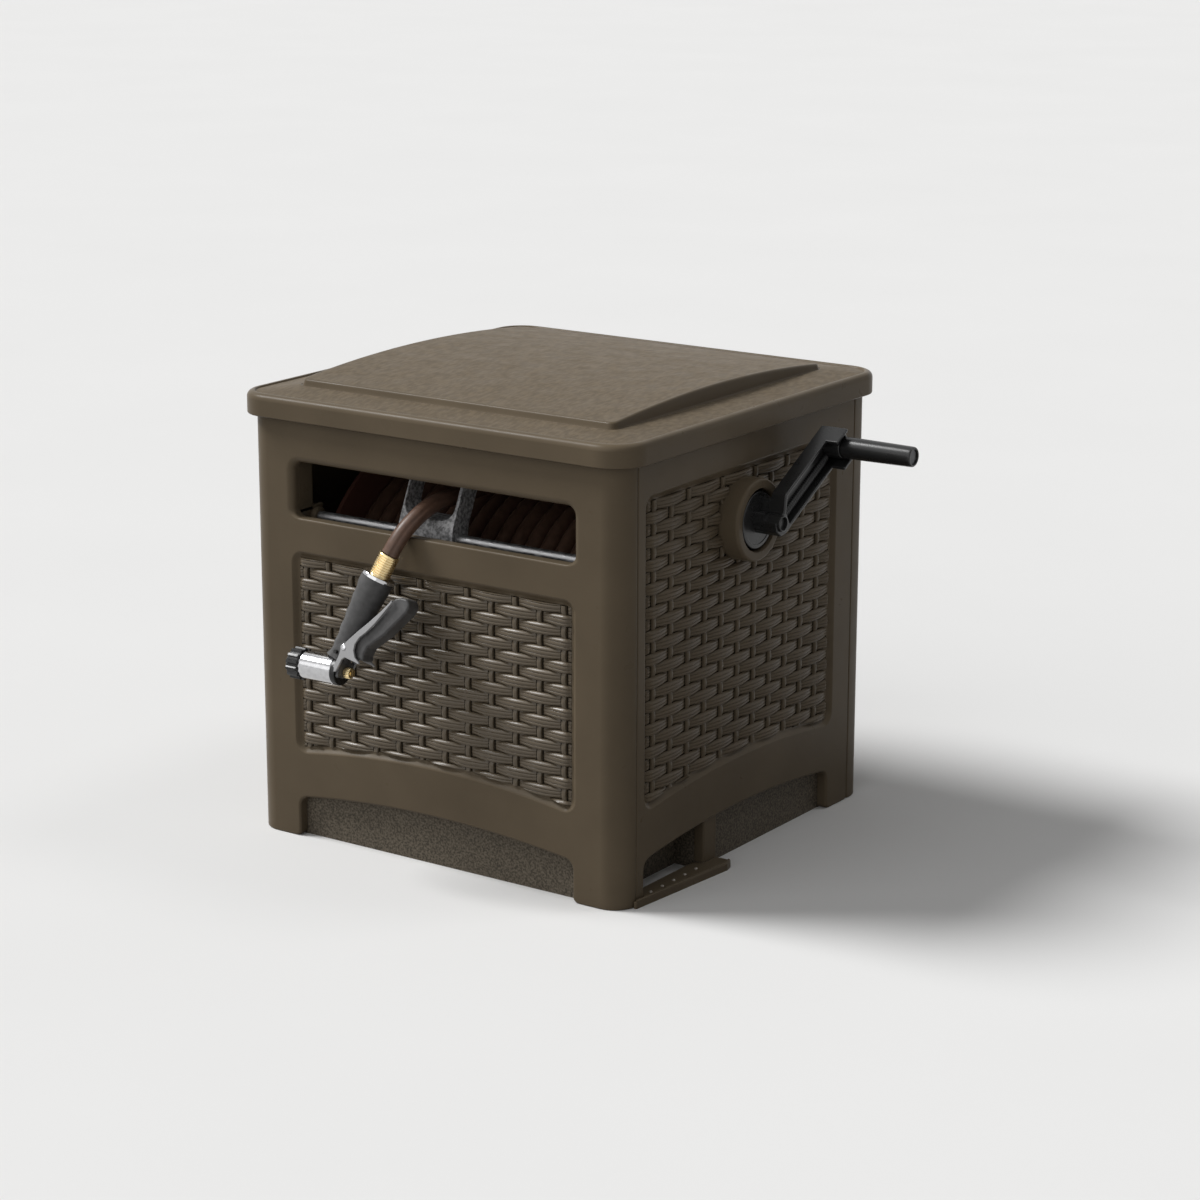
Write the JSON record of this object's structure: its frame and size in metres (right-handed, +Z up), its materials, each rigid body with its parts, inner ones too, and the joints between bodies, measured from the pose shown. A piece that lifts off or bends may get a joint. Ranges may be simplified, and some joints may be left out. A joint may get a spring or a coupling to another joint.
{
  "type": "hose reel box",
  "caption": "Square garden box that stores a wound hose on a crank-driven geared reel, with a hinged lid, a front slot with a sliding hose guide, and a trigger nozzle on the hose end.",
  "frame": {"origin": "on the floor, under the middle of the four walls", "axes": "+Z up, the slotted front faces -Y, the crank stands on the +X side"},
  "size_m": [0.6668, 0.595, 0.5243],
  "materials": {
    "case_plastic": "smooth satin moulded plastic",
    "grained_plastic": "fine grained moulded plastic",
    "reel_plastic": "satin moulded plastic",
    "black_plastic": "satin black moulded plastic",
    "guide_plastic": "mottled grey plastic",
    "steel": "drawn bright steel",
    "brass": "turned brass",
    "chrome": "polished plating",
    "hose_rubber": "satin brown hose",
    "seal_rubber": "matte",
    "grip_rubber": "soft matte rubber",
    "trigger_metal": "satin dark coating"
  },
  "bodies": {
    "case": {"base_tray": "grained_plastic", "step_pad": "grained_plastic", "front_panel": "case_plastic", "back_panel": "case_plastic", "left_panel": "case_plastic", "right_panel": "case_plastic", "panel_screws": "steel", "crank_escutcheon": "case_plastic", "crank_bush": "black_plastic", "reel_bearing": "black_plastic", "inlet_spigot": "brass", "inlet_washer": "seal_rubber", "inlet_nut": "brass", "spigot_seals": "seal_rubber", "guide_rod": "steel", "rod_sockets": "case_plastic", "hinge_pins": "steel"},
    "lid": {"lid_shell": "grained_plastic"},
    "reel": {"reel_drum": "reel_plastic", "left_flange": "reel_plastic", "right_flange": "reel_plastic", "flange_screws": "steel", "reel_axle": "steel", "reel_gear": "black_plastic", "outlet_elbow": "brass", "hose_core": "hose_rubber", "hose_winding": "hose_rubber"},
    "crank": {"crank_shaft": "steel", "crank_gear": "black_plastic", "crank_hub": "black_plastic", "crank_arm": "black_plastic", "crank_screw": "steel", "grip_pin": "steel"},
    "crank_handle": {"crank_grip": "black_plastic"},
    "hose_guide": {"guide_carriage": "guide_plastic", "guide_bushes": "black_plastic", "hose_lead": "hose_rubber", "hose_coupling": "brass", "nozzle_collar": "chrome", "nozzle_grip": "grip_rubber", "nozzle_barrel": "chrome", "barrel_guard": "black_plastic", "trigger_pin": "steel", "valve_spring": "steel"},
    "trigger": {"trigger_lever": "trigger_metal"},
    "valve": {"valve_stem": "brass"},
    "nut": {"flow_nut": "brass"}
  },
  "joints": [
    {"name": "lid_hinge", "type": "hinge", "parent": "case", "child": "lid", "pos_m": [0, 0.256, 0.482], "axis": [-1, 0, 0], "range_deg": [0, 105]},
    {"name": "reel_spin", "type": "hinge", "parent": "case", "child": "reel", "pos_m": [0, -0.018, 0.233], "axis": [1, 0, 0], "continuous": true},
    {"name": "crank_spin", "type": "hinge", "parent": "case", "child": "crank", "pos_m": [0.25, -0.018, 0.383], "axis": [1, 0, 0], "continuous": true},
    {"name": "grip_spin", "type": "hinge", "parent": "crank", "child": "crank_handle", "pos_m": [0.35, 0.09745, 0.44699], "axis": [1, 0, 0], "continuous": true},
    {"name": "guide_slide", "type": "slide", "parent": "case", "child": "hose_guide", "axis": [1, 0, 0], "range_m": [-0.115, 0.17]},
    {"name": "trigger_pivot", "type": "hinge", "parent": "hose_guide", "child": "trigger", "pos_m": [-0.07189, -0.30872, 0.24676], "axis": [0, -0.9451, 0.3267], "range_deg": [0, 10], "stiffness_Nm_per_rad": 1.5, "springref_deg": -11.46},
    {"name": "stem_slide", "type": "slide", "parent": "hose_guide", "child": "valve", "axis": [1, 0, 0], "range_m": [0, 0.0035], "deforming": ["valve_spring"]},
    {"name": "nut_turn", "type": "hinge", "parent": "valve", "child": "nut", "pos_m": [-0.08149, -0.31525, 0.22786], "axis": [1, 0, 0], "continuous": true}
  ],
  "couplings": [
    {"joint": "crank_spin", "follows": "reel_spin", "ratio": -1.5},
    {"joint": "stem_slide", "follows": "trigger_pivot", "m_per_rad": 0.02}
  ]
}
